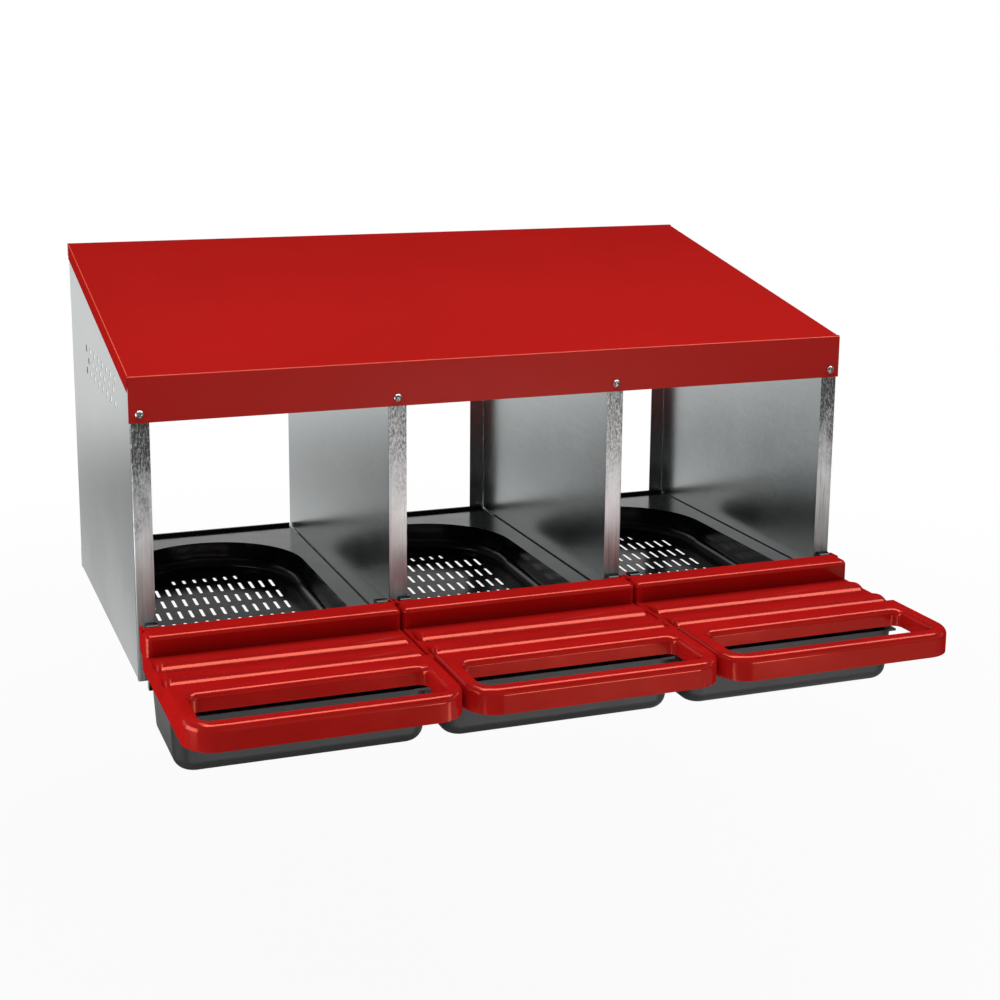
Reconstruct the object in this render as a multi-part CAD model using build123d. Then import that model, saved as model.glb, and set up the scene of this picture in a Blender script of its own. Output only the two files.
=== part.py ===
from build123d import *
from math import asin, atan2, cos, hypot, sin, sqrt, tan
import os

os.makedirs("parts", exist_ok=True)

# Overall sizes of the sheet-metal box
width = 750.0
depth = 400.0
rear_height = 376.0
front_height = 293.0
bay_count = 3
sheet = 0.8

# Folded edges of the side panels and dividers
post_width = 18.0
rear_flange = 18.0
foot_flange = 12.0

# Roof sheet
fascia_height = 43.0
roof_side_drop = 16.0
roof_rear_drop = 14.0
roof_gap = 0.3
roof_corner_gap = 3.0

# Air holes high on both side panels
vent_radius = 4.0
vent_pitch = 28.0
vent_row_pitch = 12.0
vent_front = 84.0
vent_count = 8
vent_top_drop = 34.0

# Rails across the back, with the wall holes
rail = 1.2
upper_rail_height = 42.0
upper_rail_drop = 20.0
lower_rail_height = 22.0
wall_hole_radius = 3.0
rivet_radius = 2.0
rivet_head_radius = 3.5
rivet_head = 1.0

# Angles that carry the long edges of the inserts
runner_low = 8.0
runner_inset = 30.0

# Screws that hold the roof to the posts
screw_radius = 2.0
screw_head_radius = 4.0
screw_head = 2.6
screw_length = 8.0
screw_rise = 8.0
screw_head_round = 1.5
recess_length = 4.6
recess_width = 1.0
recess_depth = 1.2
nut_side = 11.0
nut_thickness = 1.4

# Nest insert
wall = 2.5
insert_gap = 1.5
deck_height = 28.0
rim_rise = 3.5
rear_margin = 3.0
basin_back_margin = 46.0
floor_drop = 28.0
floor_fall = 15.0
floor_round = 12.0
chute_reach = 32.0
slot_width = 3.6
slot_length = 24.0
slot_pitch_x = 11.8
slot_pitch_y = 36.0

# Arms that carry the egg tray and stop the lid
arm_end_gap = 10.0
ledge_width = 5.0
ledge_start = 38.0

# Hinge ears, brackets under them and hinge pins
ear_inset = 11.7
ear_width = 11.0
hinge_reach = 8.5
hinge_rise = 25.0
hinge_round = 7.0
bracket_reach = 9.0
bracket_low = 4.0
bracket_sheet = 1.2
bracket_rivet_rise = 6.0
bracket_rivet_pitch = 10.0
skirt_reach = 17.0
skirt_low = -4.0
pin_radius = 2.0
pin_clearance = 0.06

# Perch lid
lid_gap = 0.8
lid_reach = 236.0
lip_rear = 16.5
lip_front = 41.0
lip_cover = 5.0
plate_rise = 9.0
frame_rise = 6.0
rib_rise = 6.0
lid_drop = 18.0
rib_count = 2
lip_gap = 1.5
rib_gap = 1.5
frame_gap = 3.0
frame_bar = 16.0
front_bar = 17.0
rear_bar = 30.0
window_share = 0.26
window_drop = 18.0
frame_corner = 30.0
opening_corner = 9.0
edge_round = 7.0
lip_round = 6.5
rib_end_inset = 3.0
rib_end_round = 7.0
rib_nose = 16.0
cheek = 3.0
cheek_round = 4.5

# Egg tray
tray_lid_gap = 3.5
tray_height = 55.0
tray_rear = 22.0
tray_front_lap = 16.0
tray_side_inset = 5.5
tray_draft = 3.0
tray_corner = 20.0
tray_rear_corner = 18.0
tray_bottom_round = 14.0

# Fits between pieces
rest_gap = 0.3
clear_gap = 1.0
hole_gap = 0.2

# Sizes that follow from the ones above
bay = (width - (bay_count + 1) * sheet) / bay_count
pitch = bay + sheet
bay_centres = [(i - (bay_count - 1) / 2) * pitch for i in range(bay_count)]
web_starts = [-width / 2 + i * pitch for i in range(bay_count + 1)]
web_turns = [1 if start < -sheet else -1 for start in web_starts]
slope = (rear_height - front_height) / depth
rear_face = depth + rail
mount_height = (rear_height - upper_rail_drop - upper_rail_height / 2 + lower_rail_height / 2) / 2
basin_half = bay / 2 - post_width - wall - 2 * clear_gap
basin_centre = depth - basin_back_margin - basin_half
floor_rear = deck_height - floor_drop
insert_half = bay / 2 - insert_gap
ear_centre = bay / 2 - ear_inset
lid_half = pitch / 2 - lid_gap
hinge_height = deck_height + hinge_rise
lip_height = hinge_height + lip_cover
plate_height = deck_height + plate_rise
plate_under = plate_height - wall
frame_height = plate_height + frame_rise
rib_height = plate_height + rib_rise
lid_low = plate_height - lid_drop
window_low = frame_height - window_drop
opening_front = lid_reach - front_bar
opening_rear = opening_front - window_share * lid_reach
frame_rear = opening_rear - rear_bar
rib_depth = (frame_rear - frame_gap - lip_front - lip_gap + rib_gap) / rib_count - rib_gap
nose_drop = rib_nose - rib_rise
ramp_run = rib_depth - sqrt(rib_nose**2 - nose_drop**2)
ramp_angle = asin(rib_nose / hypot(ramp_run, nose_drop)) - atan2(nose_drop, ramp_run)
tray_top = lid_low - tray_lid_gap
tray_bottom = tray_top - tray_height
tray_front = frame_rear + tray_front_lap
arm_reach = tray_front - arm_end_gap
ledge_height = tray_top - wall
arm_low = ledge_height - 2 * wall
hinge_clear = deck_height + 2 * wall
stop_start = lip_rear + 4 * wall + clear_gap


def block(x0, x1, y0, y1, z0, z1):
    """A box between two corners."""
    centre = Pos((x0 + x1) / 2, (y0 + y1) / 2, (z0 + z1) / 2)
    return centre * Box(abs(x1 - x0), abs(y1 - y0), abs(z1 - z0))


def across(points, x0, x1):
    """A side outline in depth and height, drawn out across the width."""
    return extrude(Plane.YZ.offset(x0) * Polygon(*points, align=None), x1 - x0, dir=(1, 0, 0))


def rod_y(x, z, radius, y0, y1):
    """A round bar along the depth."""
    return Pos(x, (y0 + y1) / 2, z) * Rot(90, 0, 0) * Cylinder(radius, y1 - y0)


def rod_x(y, z, radius, x0, x1):
    """A round bar along the width."""
    return Pos((x0 + x1) / 2, y, z) * Rot(0, 90, 0) * Cylinder(radius, abs(x1 - x0))


def web_top(y):
    """Height of the sloping top edge of a panel."""
    return front_height + slope * y


def fold(index):
    """Face of an upright sheet that its flanges are folded from, and their direction."""
    turn = web_turns[index]
    return (web_starts[index] if turn > 0 else web_starts[index] + sheet), turn


def save(name, shape):
    """Writes one piece, with the middle of the wall holes as the origin."""
    export_step(Pos(0, -rear_face, -mount_height) * shape, f"parts/{name}.step")


# Side panels and dividers
post_centres = []
rivet_places = []
for index in range(bay_count + 1):
    face, turn = fold(index)
    post_centres.append(face + turn * post_width / 2)
    rivet_places.append(face + turn * rear_flange / 2)
rail_heights = (
    rear_height - upper_rail_drop - upper_rail_height / 2,
    lower_rail_height / 2,
)
bracket_rivet_heights = [bracket_low + bracket_rivet_rise + i * bracket_rivet_pitch for i in range(2)]
screw_height = front_height - fascia_height + screw_rise


def web(index):
    """One upright sheet with its front post, rear flange and foot flange."""
    start = web_starts[index]
    face, turn = fold(index)
    outline = [(0, 0), (depth, 0), (depth, web_top(depth)), (0, web_top(0))]
    body = across(outline, start, start + sheet)
    body += block(face, face + turn * post_width, 0, sheet, 0, web_top(0))
    body += block(face, face + turn * rear_flange, depth - sheet, depth, 0, web_top(depth) - sheet)
    body += block(face, face + turn * foot_flange, 0, depth, 0, sheet)
    x = post_centres[index]
    body -= rod_y(x, screw_height, screw_radius + hole_gap, -sheet, 2 * sheet)
    for z in bracket_rivet_heights:
        body -= rod_y(x, z, rivet_radius, -sheet, 2 * sheet)
    for z in rail_heights:
        body -= rod_y(rivet_places[index], z, rivet_radius, depth - 2 * sheet, depth + sheet)
    return body


def vents(start):
    """Three staggered rows of round air holes through a side panel."""
    top = front_height + slope * vent_front - vent_top_drop
    holes = []
    for row in range(3):
        shift = vent_pitch / 2 if row == 1 else 0
        count = vent_count - 1 if row == 1 else vent_count
        for i in range(count):
            y = vent_front + shift + i * vent_pitch
            holes.append(rod_x(y, top - row * vent_row_pitch, vent_radius, start - sheet, start + 2 * sheet))
    return holes


save("left_side_panel", web(0) - vents(web_starts[0]))
save("left_divider", web(1))
save("right_divider", web(2))
save("right_side_panel", web(bay_count) - vents(web_starts[bay_count]))

# Roof: one folded sheet with a front fascia, side flanges and a rear flange
roof_half = width / 2 + roof_gap + sheet
roof_front = -roof_gap - sheet
roof_rear = rear_face
fascia_low = front_height - fascia_height


def under(y):
    """Height of the underside of the sloping roof sheet."""
    return web_top(y) + roof_gap


roof_outline = [
    (roof_front, fascia_low),
    (roof_front, under(roof_front) + sheet),
    (roof_rear, under(roof_rear) + sheet),
    (roof_rear, under(roof_rear) - roof_rear_drop),
    (roof_rear - sheet, under(roof_rear) - roof_rear_drop),
    (roof_rear - sheet, under(roof_rear - sheet)),
    (roof_front + sheet, under(roof_front + sheet)),
    (roof_front + sheet, fascia_low),
]
roof = across(roof_outline, -roof_half, roof_half)
side_front = roof_front + roof_corner_gap
side_outline = [
    (side_front, under(side_front) - roof_side_drop),
    (side_front, under(side_front) + sheet),
    (depth, under(depth) + sheet),
    (depth, under(depth) - roof_side_drop),
]
roof += across(side_outline, -roof_half, -roof_half + sheet)
roof += across(side_outline, roof_half - sheet, roof_half)
for x in post_centres:
    roof -= rod_y(x, screw_height, screw_radius + hole_gap, roof_front - sheet, 0)
save("roof", roof)

# Screws through the fascia, each with a square nut behind its post
head = extrude(Circle(screw_head_radius), screw_head)
head = fillet(head.edges().group_by(Axis.Z)[-1], screw_head_round)
recess = Box(recess_length, recess_width, 2 * recess_depth)
recess += Box(recess_width, recess_length, 2 * recess_depth)
screw = head - Pos(0, 0, screw_head) * recess
screw += Pos(0, 0, -screw_length / 2) * Cylinder(screw_radius, screw_length)
screws = [Pos(x, roof_front, screw_height) * Rot(90, 0, 0) * screw for x in post_centres]
save("roof_screws", Compound(screws))
nuts = []
for x in post_centres:
    nut = block(
        x - nut_side / 2,
        x + nut_side / 2,
        sheet,
        sheet + nut_thickness,
        screw_height - nut_side / 2,
        screw_height + nut_side / 2,
    )
    nuts.append(nut - rod_y(x, screw_height, screw_radius + hole_gap / 2, 0, 2 * nut_thickness))
save("roof_nuts", Compound(nuts))

# Rails across the back
rail_half = width / 2
wall_hole_x = [bay_centres[0], bay_centres[-1]]


def back_rail(middle, height):
    """A flat strip riveted to the rear flanges, drilled for two wall screws."""
    body = block(-rail_half, rail_half, depth, rear_face, middle - height / 2, middle + height / 2)
    for x in wall_hole_x:
        body -= rod_y(x, middle, wall_hole_radius, depth - rail, rear_face + rail)
    for x in rivet_places:
        body -= rod_y(x, middle, rivet_radius, depth - rail, rear_face + rail)
    return body


save("rear_upper_rail", back_rail(rail_heights[0], upper_rail_height))
save("rear_lower_rail", back_rail(rail_heights[1], lower_rail_height))
rail_rivets = []
for x in rivet_places:
    for z in rail_heights:
        rivet = rod_y(x, z, rivet_radius, depth - sheet - rivet_head, rear_face)
        rivet += rod_y(x, z, rivet_head_radius, depth - sheet - rivet_head, depth - sheet)
        rail_rivets.append(rivet)
save("rail_rivets", Compound(rail_rivets))

# Angles on the upright sheets, under the long edges of the inserts
runner_top = deck_height - wall - rest_gap
runners = []
for centre in bay_centres:
    for side in (-1, 1):
        face = centre + side * bay / 2
        ends = (runner_inset, depth - runner_inset)
        leg = block(face, face - side * rail, *ends, runner_low, runner_top)
        shelf = block(face, face - side * foot_flange, *ends, runner_top - rail, runner_top)
        runners.append(leg + shelf)
save("insert_runners", Compound(runners))

# Brackets on the feet of the posts, under the hinge ears
bracket_top = deck_height - rest_gap
bracket_inner = bay / 2 - ear_centre + ear_width / 2 + clear_gap
bracket_outer = clear_gap + rail + sheet


def bracket(x0, x1):
    """A folded box bracket, open below and at the front."""
    body = block(x0, x1, -bracket_reach, 0, bracket_low, bracket_top)
    body -= block(
        x0 + bracket_sheet,
        x1 - bracket_sheet,
        -bracket_reach - sheet,
        -bracket_sheet,
        bracket_low - sheet,
        bracket_top - bracket_sheet,
    )
    for x in post_centres:
        for z in bracket_rivet_heights:
            body -= rod_y(x, z, rivet_radius, -bracket_reach, sheet)
    return body


left_edge = -width / 2 + sheet
save(
    "end_brackets",
    Compound(
        [
            bracket(left_edge + bracket_outer, left_edge + bracket_inner),
            bracket(-left_edge - bracket_inner, -left_edge - bracket_outer),
        ]
    ),
)
divider_centres = [start + sheet / 2 for start in web_starts[1:-1]]
bracket_half = bracket_inner + sheet / 2
save(
    "divider_brackets",
    Compound([bracket(x - bracket_half, x + bracket_half) for x in divider_centres]),
)
bracket_rivets = []
for x in post_centres:
    for z in bracket_rivet_heights:
        rivet = rod_y(x, z, rivet_radius, -bracket_sheet - rivet_head, sheet + rivet_head)
        rivet += rod_y(x, z, rivet_head_radius, -bracket_sheet - rivet_head, -bracket_sheet)
        rivet += rod_y(x, z, rivet_head_radius, sheet, sheet + rivet_head)
        bracket_rivets.append(rivet)
save("bracket_rivets", Compound(bracket_rivets))


# Nest insert, drawn about the middle of its bay
def floor_z(y):
    """Height of the sloping basin floor."""
    back = basin_centre + basin_half
    return floor_rear - floor_fall * (back - y) / (back + chute_reach)


def basin(grow, front):
    """The horseshoe-shaped hollow, grown outwards by a wall thickness."""
    half = basin_half + grow
    plan = Pos(0, (basin_centre - front) / 2) * Rectangle(2 * half, basin_centre + front)
    plan += Pos(0, basin_centre) * Circle(half)
    low = floor_z(-front) - grow - floor_fall
    solid = extrude(Pos(0, 0, low) * plan, deck_height - low)
    ends = (-front - floor_fall, depth + floor_fall)
    solid -= across(
        [
            (ends[0], low - floor_fall),
            (ends[1], low - floor_fall),
            (ends[1], floor_z(ends[1]) - grow),
            (ends[0], floor_z(ends[0]) - grow),
        ],
        -depth,
        depth,
    )
    bottom = solid.faces().sort_by(Axis.Z)[0]
    rim = [edge for edge in bottom.edges() if edge.center().Y > -front + clear_gap]
    return fillet(rim, floor_round + grow)


def floor_slots():
    """Rows of drain slots that stay clear of the rounded floor edge."""
    reach = basin_half - floor_round - 2 * slot_width
    places = []
    rows = int((basin_centre + reach) / slot_pitch_y)
    columns = int(reach / slot_pitch_x)
    for row in range(rows):
        y = basin_centre + reach - slot_length - row * slot_pitch_y
        tip = max(0, y + slot_length / 2 - basin_centre)
        for column in range(-columns, columns + 1):
            x = column * slot_pitch_x
            if (abs(x) + slot_width / 2) ** 2 + tip**2 < reach**2:
                places.append(Pos(x, y) * Rot(0, 0, 90) * SlotOverall(slot_length, slot_width))
    low = floor_z(0) - 2 * floor_round
    return [extrude(Pos(0, 0, low) * place, 3 * floor_round) for place in places]


def ear(side):
    """A hinge ear on its foot, with the skirt that hangs in front of the bracket."""
    inner = side * (ear_centre - ear_width / 2)
    outer = side * (ear_centre + ear_width / 2)
    arm = side * (basin_half + wall)
    back = -clear_gap - rest_gap
    body = block(inner, outer, back, -hinge_reach - hinge_round, deck_height, hinge_height)
    body += rod_x(-hinge_reach, hinge_height, hinge_round, inner, outer)
    body += block(arm, outer, back, -skirt_reach, deck_height, deck_height + wall)
    body += block(arm, outer, -bracket_reach - 2 * rest_gap, -skirt_reach, skirt_low, deck_height + wall)
    bore = rod_x(-hinge_reach, hinge_height, pin_radius + pin_clearance, 0, 2 * outer)
    return body - bore


deck_front = sheet + insert_gap
deck_rear = depth - rear_margin
deck = block(-insert_half, insert_half, deck_front, deck_rear, deck_height - wall, deck_height)
deck += block(-insert_half, insert_half, deck_rear - wall, deck_rear, deck_height, deck_height + rim_rise)
rear_corners = deck.edges().filter_by(Axis.Z).group_by(Axis.Y)[-1]
deck = fillet(rear_corners, clear_gap)
insert = deck + basin(wall, chute_reach)
insert -= basin(0, chute_reach + arm_reach)
insert -= floor_slots()
for side in (-1, 1):
    inner = side * basin_half
    outer = side * (basin_half + wall)
    insert += block(inner, outer, -arm_reach, deck_front, arm_low, deck_height + wall)
    insert += block(inner, outer, -arm_reach, -stop_start, arm_low, plate_under - rest_gap)
    insert += block(
        outer,
        outer + side * ledge_width,
        -arm_reach,
        -ledge_start,
        ledge_height - wall,
        ledge_height,
    )
    insert += ear(side)

# Egg tray, hung by its inturned rims on the arms of the insert
tray_half = bay / 2 - tray_side_inset
arm_outer = basin_half + wall
ledge_outer = arm_outer + ledge_width


def tray_shape(inset, top):
    """The rounded tub of the tray, narrower at the bottom."""
    loops = []
    lean = tray_draft / (tray_top - tray_bottom)
    for z in (tray_bottom + inset, top):
        less = inset + lean * (tray_top - z)
        plan = Rectangle(2 * (tray_half - less), tray_front - tray_rear - 2 * less)
        corners = plan.vertices().group_by(Axis.Y)
        plan = fillet(corners[0], tray_corner - inset)
        plan = fillet(plan.vertices().group_by(Axis.Y)[-1], tray_rear_corner - inset)
        loops.append(Pos(0, -(tray_front + tray_rear) / 2, z) * plan)
    tub = loft(loops)
    return fillet(tub.edges().group_by(Axis.Z)[0], tray_bottom_round - inset)


tray = tray_shape(0, tray_top) - tray_shape(wall, tray_top + clear_gap)
for side in (-1, 1):
    tray += block(
        side * (arm_outer + clear_gap),
        side * (tray_half - wall / 2),
        -tray_front + wall / 2,
        -ledge_start,
        ledge_height + rest_gap,
        tray_top,
    )
rear_cut = tray_rear + tray_draft + 2 * wall
chute_under = floor_z(-chute_reach) - wall
low_cut = arm_outer + clear_gap
tray -= block(-low_cut, low_cut, -rear_cut, 0, chute_under - 2 * clear_gap, tray_top + wall)
high_cut = ledge_outer + clear_gap
tray -= block(-high_cut, high_cut, -rear_cut, 0, arm_low - 2 * clear_gap, tray_top + wall)


# Perch lid: a raised rear lip, two ribs and an open frame on one skirted moulding
opening_half = lid_half - frame_bar
hinge_cut = max(skirt_reach + 2 * clear_gap, lip_rear + wall)


def front_plan(inset, rear):
    """Plan of the lid with its two large front corners."""
    front = lid_reach - inset
    plan = Pos(0, -(front + rear) / 2) * Rectangle(2 * (lid_half - inset), front - rear)
    return fillet(plan.vertices().group_by(Axis.Y)[0], frame_corner - inset)


def opening_plan(grow):
    """Plan of the window in the frame."""
    middle = -(opening_front + opening_rear) / 2
    size = opening_front - opening_rear + 2 * grow
    return Pos(0, middle) * RectangleRounded(2 * (opening_half + grow), size, opening_corner + grow)


def raised(plan, low, high):
    """A plan drawn up between two heights."""
    return extrude(Pos(0, 0, low) * plan, high - low)


def hinge_cheek(start):
    """A rounded plate at one end of the lip that holds a hinge pin."""
    front = lip_rear + 2 * wall
    height = hinge_height + cheek_round - hinge_clear
    middle = Pos(-(front + hinge_reach) / 2, hinge_clear + height / 2)
    tail = middle * Rectangle(front - hinge_reach, height)
    outline = tail + Pos(-hinge_reach, hinge_height) * Circle(cheek_round)
    return extrude(Plane.YZ.offset(start) * outline, cheek, dir=(1, 0, 0))


def rib_bar(rear, inset, half):
    """One rib across the lid: a rising ramp that ends in a round nose."""
    radius = rib_nose - inset
    y = -rear - ramp_run
    z = rib_height - rib_nose
    start = -rear - 2 * inset
    rise = plate_height + 2 * inset * tan(ramp_angle) - inset / cos(ramp_angle)
    crest = (y + radius * sin(ramp_angle), z + radius * cos(ramp_angle))
    turn = (y - radius * sin(ramp_angle), z + radius * cos(ramp_angle))
    outline = Line((start, lid_low), (start, rise)) + Line((start, rise), crest)
    outline += ThreePointArc(crest, turn, (y - radius, z))
    outline += Line((y - radius, z), (y - radius, lid_low))
    outline += Line((y - radius, lid_low), (start, lid_low))
    return extrude(Plane.YZ.offset(-half) * make_face(outline.edges()), 2 * half, dir=(1, 0, 0))


frame = raised(front_plan(0, frame_rear), lid_low, frame_height)
frame -= raised(opening_plan(0), lid_low, frame_height)
frame = fillet(frame.faces().sort_by(Axis.Z)[-1].edges(), edge_round)
plate = block(-lid_half, lid_half, -frame_rear - edge_round, -lip_rear, lid_low, plate_height)
plate = fillet(plate.edges().filter_by(Axis.Y).group_by(Axis.Z)[-1], wall)
lip = block(-lid_half, lid_half, -lip_front, -lip_rear, lid_low, lip_height)
lip = fillet(lip.edges().filter_by(Axis.Z).group_by(Axis.Y)[0], lip_round)
lip_top = lip.faces().sort_by(Axis.Z)[-1].edges()
lip = fillet([edge for edge in lip_top if edge.center().Y < -lip_rear - clear_gap], lip_round - clear_gap)
lid = frame + plate + lip
rib_half = lid_half - rib_end_inset
rib_rears = [lip_front + lip_gap + i * (rib_depth + rib_gap) for i in range(rib_count)]
for rear in rib_rears:
    rib = rib_bar(rear, 0, rib_half)
    ends = [edge for edge in rib.edges() if abs(edge.center().X) > rib_half - clear_gap]
    rib = fillet([edge for edge in ends if edge.center().Z > plate_under], rib_end_round)
    rib -= block(-lid_half, lid_half, -rear - 2 * rib_depth, -rear + rib_gap, lid_low, plate_under)
    lid += rib
for start in (-lid_half, lid_half - cheek):
    lid += hinge_cheek(start)

hollow = raised(front_plan(wall, lip_rear + wall), lid_low, plate_under)
hollow += raised(front_plan(wall, frame_rear + 2 * wall), lid_low, frame_height - wall)
hollow += block(
    -lid_half + 2 * wall,
    lid_half - 2 * wall,
    -lip_front + 2 * wall,
    -lip_rear - wall,
    lid_low,
    lip_height - 2 * wall,
)
for rear in rib_rears:
    hollow += rib_bar(rear, wall, rib_half - rib_end_round)
hollow -= raised(opening_plan(wall), window_low, frame_height)
lid -= hollow
lid -= raised(opening_plan(0), lid_low, frame_height)
for side in (-1, 1):
    lid -= rod_x(-hinge_reach, hinge_height, pin_radius, 0, side * pitch)
lid -= block(-lid_half, lid_half, -hinge_cut, 0, lid_low, hinge_clear)

# Steel pins, pressed into the cheeks of the lid and turning in the ears
pins = []
for side in (-1, 1):
    inner = side * (ear_centre - ear_width / 2 + clear_gap)
    pins.append(rod_x(-hinge_reach, hinge_height, pin_radius, inner, side * (lid_half - rest_gap)))

for name, centre in zip(("left", "middle", "right"), bay_centres):
    place = Pos(centre, 0, 0)
    save(f"nest_insert_{name}", place * insert)
    save(f"egg_tray_{name}", place * tray)
    save(f"perch_lid_{name}", place * lid)
    save(f"hinge_pins_{name}", Compound([place * pin for pin in pins]))
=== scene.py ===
import math
from collections import namedtuple

import bmesh
import bpy
from bpy.props import FloatProperty, FloatVectorProperty, PointerProperty
from mathutils import Matrix, Vector


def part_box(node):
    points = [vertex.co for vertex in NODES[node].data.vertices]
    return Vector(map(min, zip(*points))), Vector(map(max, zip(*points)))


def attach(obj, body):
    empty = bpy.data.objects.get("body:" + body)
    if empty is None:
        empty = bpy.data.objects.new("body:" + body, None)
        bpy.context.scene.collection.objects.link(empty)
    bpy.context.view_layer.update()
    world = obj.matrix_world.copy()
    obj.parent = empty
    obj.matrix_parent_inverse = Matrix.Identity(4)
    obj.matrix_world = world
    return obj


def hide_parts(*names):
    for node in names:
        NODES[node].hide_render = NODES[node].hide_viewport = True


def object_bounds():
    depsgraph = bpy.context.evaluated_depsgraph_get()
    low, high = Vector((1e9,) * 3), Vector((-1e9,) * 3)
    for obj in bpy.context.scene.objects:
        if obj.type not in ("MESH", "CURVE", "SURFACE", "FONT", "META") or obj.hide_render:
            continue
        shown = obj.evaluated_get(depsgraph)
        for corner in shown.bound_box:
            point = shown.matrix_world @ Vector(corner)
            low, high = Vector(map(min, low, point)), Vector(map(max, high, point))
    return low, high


bl_info = {
    "name": "Hen nesting box",
    "version": (1, 0, 0),
    "blender": (4, 5, 0),
    "location": "View3D > Sidebar > Nesting box",
    "description": "Finishes and visible pieces of a wall-hung hen nesting box",
    "category": "Object",
}

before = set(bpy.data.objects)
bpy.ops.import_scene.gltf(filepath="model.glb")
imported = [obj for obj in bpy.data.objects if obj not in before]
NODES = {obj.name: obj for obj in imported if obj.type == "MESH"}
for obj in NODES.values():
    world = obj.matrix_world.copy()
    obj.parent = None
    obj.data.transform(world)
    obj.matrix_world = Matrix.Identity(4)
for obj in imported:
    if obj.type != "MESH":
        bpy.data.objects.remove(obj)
CAD_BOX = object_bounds()
BAYS = ("left", "middle", "right")
UPRIGHTS = ("left_side_panel", "left_divider", "right_divider", "right_side_panel")
PANEL_LOW, PANEL_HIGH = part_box("left_side_panel")
ROOF_LOW, ROOF_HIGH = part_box("roof")

# a flange's depth and angle, and the gaps before its start and after its end
Fold = namedtuple("Fold", "drop turn start end", defaults=(0.0, 0.0))
SQUARE = math.pi / 2
FOLD_STEPS = 6
FOLD_HIGHLIGHT = (2, 3)  # steps of a fold painted a lighter red, a painted highlight along the fold
POST_FACING = -0.5  # faces that look further forwards belong to a post
WELD = 1e-6  # corners nearer than this are one
MOULDED_EDGE = math.radians(40)  # sharper edges stay crisp
INSERT_WALL = 0.0025
SLOTTED_SHARE = 0.36  # the slots' reach to each side, as a share of the insert's width

VENT_COUNT = 8
VENT_ROWS = 3
DRILL_DEPTH = 0.01
ROUND_SIDES = 32
DOME_RINGS = 7
DOME_POWER = 1.6
DOME_FALL = 0.6  # the rim's drop, as a share of the head's height
SHANK_SIDES = 16
SHANK_RINGS = 44
THREAD_PITCH = 0.0008
THREAD_DEPTH = 0.06  # as a share of the radius
CRISP_EDGE = 0.6  # sharper edges of a fastener stay crisp, in radians
SCREW_SEED = 3
RIVET_SEED = 5

END_POST_SHADE = -0.85  # painted shade on the posts' upper part, deeper on the end posts than on the dividers' posts
INNER_POST_SHADE = -0.35
ROOF_SHINE = (1.0, 0.4, 0.32, 1.0)
LID_SHINE = (1.0, 0.2, 0.13, 1.0)
HOLLOW_REACH = 0.03
HOLLOW_SAMPLES = 8

FLOOR_SIZE = 40.0
SENSOR_WIDTH = 36.0
IMAGE_SIZE = 1000
IMAGE_CENTRE = (450.0, 404.0)  # where the lens axis meets the image, in pixels
FOCAL_PIXELS = 1686.3
CAMERA_PLACE = Vector((-0.6083, -1.9275, 0.3995))
CAMERA_YAW = 0.3435
CAMERA_PITCH = 0.1974
CAMERA_ROLL = -0.0028


# ---------------------------------------------------------------- node trees


class Nodes:
    """A node tree and short ways to add values to it."""

    def __init__(self, tree):
        self.nodes = tree.nodes
        self.links = tree.links

    def feed(self, socket, value):
        """Puts a number, a colour or another node's output into a socket."""
        if isinstance(value, bpy.types.NodeSocket):
            self.links.new(value, socket)
        else:
            socket.default_value = value

    def math(self, operation, a, b=0.0):
        """One sum of two values."""
        node = self.nodes.new("ShaderNodeMath")
        node.operation = operation
        self.feed(node.inputs[0], a)
        self.feed(node.inputs[1], b)
        return node.outputs["Value"]

    def total(self, first, *others):
        """Several values added up."""
        for value in others:
            first = self.math("ADD", first, value)
        return first

    def span(self, value, low, high, to_low=0.0, to_high=1.0, smooth=False):
        """A value stretched from one range to another, and kept inside it."""
        node = self.nodes.new("ShaderNodeMapRange")
        if smooth:
            node.interpolation_type = "SMOOTHSTEP"
        limits = {"From Min": low, "From Max": high, "To Min": to_low, "To Max": to_high}
        self.feed(node.inputs["Value"], value)
        for name, limit in limits.items():
            self.feed(node.inputs[name], limit)
        return node.outputs["Result"]

    def split(self, place):
        """The three parts of a place."""
        node = self.nodes.new("ShaderNodeSeparateXYZ")
        self.links.new(place, node.inputs["Vector"])
        return [node.outputs[axis] for axis in "XYZ"]


# ---------------------------------------------------------------- materials

CLOUDY = (0.3, 0.7)  # the range that most of a noise's values fill


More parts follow.
